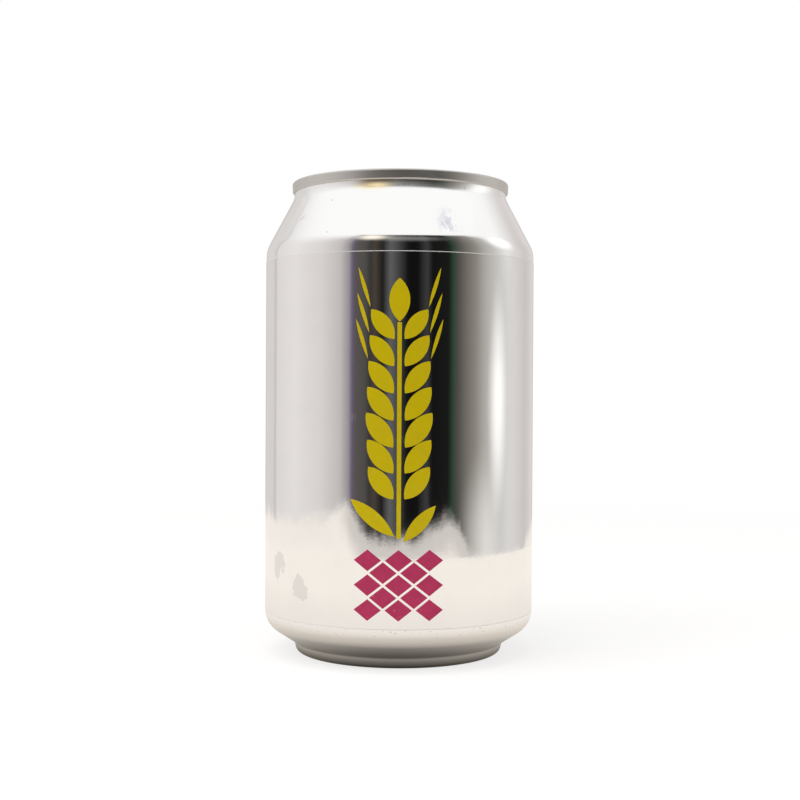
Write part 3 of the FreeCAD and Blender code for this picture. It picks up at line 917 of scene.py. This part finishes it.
filmFinish = {
    "foil": (0.935, 0.925, 0.92, 1),
    "haze": (0.86, 0.855, 0.85, 1),
    "hazeShare": 0.35,
    # grey of the painted reflection patches
    "patch": (0.74, 0.74, 0.745, 1),
    "patchShare": 0.8,
    "ragged": {
        "grain": {"scale": 240, "detail": 5, "roughness": 0.62}, "grainShare": 3.2,
        "cut": (2.00, 2.20), "fade": (0.0, 0.2),
    },
    # place, half size and turn of each grey patch, a painted reflection
    "patches": [
        ((-22.8, -23.8, 18.2), (3.6, 4.0, 5.0), (0, 0.4, 0)),
        ((-28.2, -17.0, 23.0), (3.0, 4.0, 6.0), (0, -0.3, 0)),
    ],
    "cutEdge": (0.62, 0.61, 0.60, 1),
    "topEdge": (filmHigh.z / mm - 0.22, filmHigh.z / mm - 0.12),
    "bottomEdge": (filmLow.z / mm + 0.18, filmLow.z / mm + 0.10),
    "edgeMetallic": 0.45,
    "roughness": {"foil": 0.035, "blotches": 0.03, "scratches": 0.12, "edge": 0.4},
    "waves": {"scale": 170, "stretch": (1, 1, 0.12)},
    "waveDepth": 0.010,
    "peel": {"scale": 1300, "roughness": 0.6},
    "peelDepth": 0.0022,
}


def mirrorFilm(s):
    material, tree, shader = newMaterial("mirrorFilm")
    place, height = objectPlace(tree)[:2]
    blotches, scratches = placeGroup(tree, worn, Vector=place)
    colour = mixColour(tree, times(tree, blotches, s["hazeShare"]), s["foil"], s["haze"])
    # grey ragged patches on the lower left: painted reflection
    patches = greatest(tree, *[raggedSpot(tree, place, s["ragged"], patch) for patch in s["patches"]])
    colour = mixColour(tree, times(tree, patches, s["patchShare"]), colour, s["patch"])

    # cut edges catch the light
    edge = greatest(tree, slopeNode(tree, height, s["topEdge"]), slopeNode(tree, height, s["bottomEdge"]))
    colour = mixColour(tree, edge, colour, s["cutEdge"])
    feed(tree, shader.inputs["Base Color"], colour)
    metallic = rangeNode(tree, edge, 0.0, 1.0, 1.0, s["edgeMetallic"], soft=False)
    feed(tree, shader.inputs["Metallic"], metallic)

    rough = s["roughness"]
    feed(tree, shader.inputs["Roughness"], plus(
        tree, times(tree, blotches, rough["blotches"]), times(tree, edge, rough["edge"]),
        times(tree, scratches, rough["scratches"]), rough["foil"]))
    normal = bumpNode(tree, noiseNode(tree, place, **s["waves"]), s["waveDepth"])
    normal = bumpNode(tree, noiseNode(tree, place, **s["peel"]), s["peelDepth"], normal)
    feed(tree, shader.inputs["Normal"], normal)
    return material


inkFinish = {
    "mustard": {"ink": (0.48, 0.370, 0.0, 1), "deep": (0.42, 0.325, 0.0, 1)},
    "raspberry": {"ink": (0.375, 0.028, 0.090, 1), "deep": (0.315, 0.020, 0.072, 1)},
    "mottle": {"scale": 260, "detail": 4, "roughness": 0.6},
    "mottleRange": (0.35, 0.70),
    "pinholes": {"scale": 2400},
    "pinholeRange": (0.70, 0.76),
    "pinhole": (0.60, 0.585, 0.56, 1),
    "pinholeShare": 0.25,
    "deepShare": 0.5,
    "metallic": 0.22,
    "specular": 0.22,
    "roughness": (0.28, 0.40),
    "grain": {"scale": 1500},
    "grainDepth": 0.0025,
}


def printInk(name, tone, s):
    material, tree, shader = newMaterial(name)
    place = addNode(tree, "ShaderNodeTexCoord").outputs["Object"]
    mottle = rangeNode(tree, noiseNode(tree, place, **s["mottle"]), *s["mottleRange"])
    pinholes = rangeNode(tree, noiseNode(tree, place, **s["pinholes"]), *s["pinholeRange"])
    colour = mixColour(tree, times(tree, mottle, s["deepShare"]), tone["ink"], tone["deep"])
    colour = mixColour(tree, times(tree, pinholes, s["pinholeShare"]), colour, s["pinhole"])
    feed(tree, shader.inputs["Base Color"], colour)
    shader.inputs["Metallic"].default_value = s["metallic"]
    shader.inputs["Specular IOR Level"].default_value = s["specular"]
    feed(tree, shader.inputs["Roughness"], rangeNode(tree, mottle, 0.0, 1.0, *s["roughness"], soft=False))
    feed(tree, shader.inputs["Normal"], bumpNode(tree, noiseNode(tree, place, **s["grain"]), s["grainDepth"]))
    return material


endFinish = {
    "panel": {"tone": (0.88, 0.87, 0.855, 1), "roughness": 0.22, "grainTurn": (0, 0, 0)},
    "seam": {"tone": (0.67, 0.65, 0.62, 1), "roughness": 0.42},
    "tab": {"tone": (0.90, 0.89, 0.875, 1), "roughness": 0.16, "grainTurn": (0, 0, math.pi / 2)},
    "dull": (0.70, 0.69, 0.67, 1),
    "seamEdge": (seamRadius / mm - 1.822, seamRadius / mm - 1.322),
    "blotchShare": 0.22,
    "scratchShare": 0.4,
    "blotchRoughness": 0.07,
    "grain": {"scale": 3200, "stretch": (1, 0.03, 1)},
    "grainDepth": 0.0010,
    "lineDepth": 0.0012,
}


def sheetAluminium(name, sheet, rim, s):
    # rolled sheet with a straight grain; the rim beyond seamEdge has rings over the grain
    material, tree, shader = newMaterial(name)
    place, height, reach = objectPlace(tree)
    blotches, scratches = placeGroup(tree, worn, Vector=place)
    seam = slopeNode(tree, reach, s["seamEdge"])
    tone = mixColour(tree, seam, sheet["tone"], rim["tone"])
    tone = mixColour(tree, times(tree, blotches, s["blotchShare"]), tone, s["dull"])
    tone = mixColour(tree, times(tree, scratches, s["scratchShare"]), tone, s["dull"])
    feed(tree, shader.inputs["Base Color"], tone)
    shader.inputs["Metallic"].default_value = 1.0
    rough = rangeNode(tree, seam, 0.0, 1.0, sheet["roughness"], rim["roughness"], soft=False)
    feed(tree, shader.inputs["Roughness"], plus(tree, rough, times(tree, blotches, s["blotchRoughness"])))
    grain = noiseNode(tree, place, **s["grain"], turn=sheet["grainTurn"])
    rings = times(tree, turnedLines(tree, height, reach), seam)
    normal = bumpNode(tree, rings, s["lineDepth"], bumpNode(tree, grain, s["grainDepth"]))
    feed(tree, shader.inputs["Normal"], normal)
    return material


finishPiece(canBody, bareAluminium(bodyFinish))
finishPiece(labelFilm, mirrorFilm(filmFinish))
finishPiece(mustardBarley, printInk("mustardInk", inkFinish["mustard"], inkFinish))
finishPiece(raspberryLozenges, printInk("raspberryInk", inkFinish["raspberry"], inkFinish))
sheets = {
    "can_end": sheetAluminium("endAluminium", endFinish["panel"], endFinish["seam"], endFinish),
    "pull_tab": sheetAluminium("tabAluminium", endFinish["tab"], endFinish["tab"], endFinish),
}
for name, material in sheets.items():
    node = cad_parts[name]
    node.data.materials.clear()
    node.data.materials.append(material)
print("finishes set")
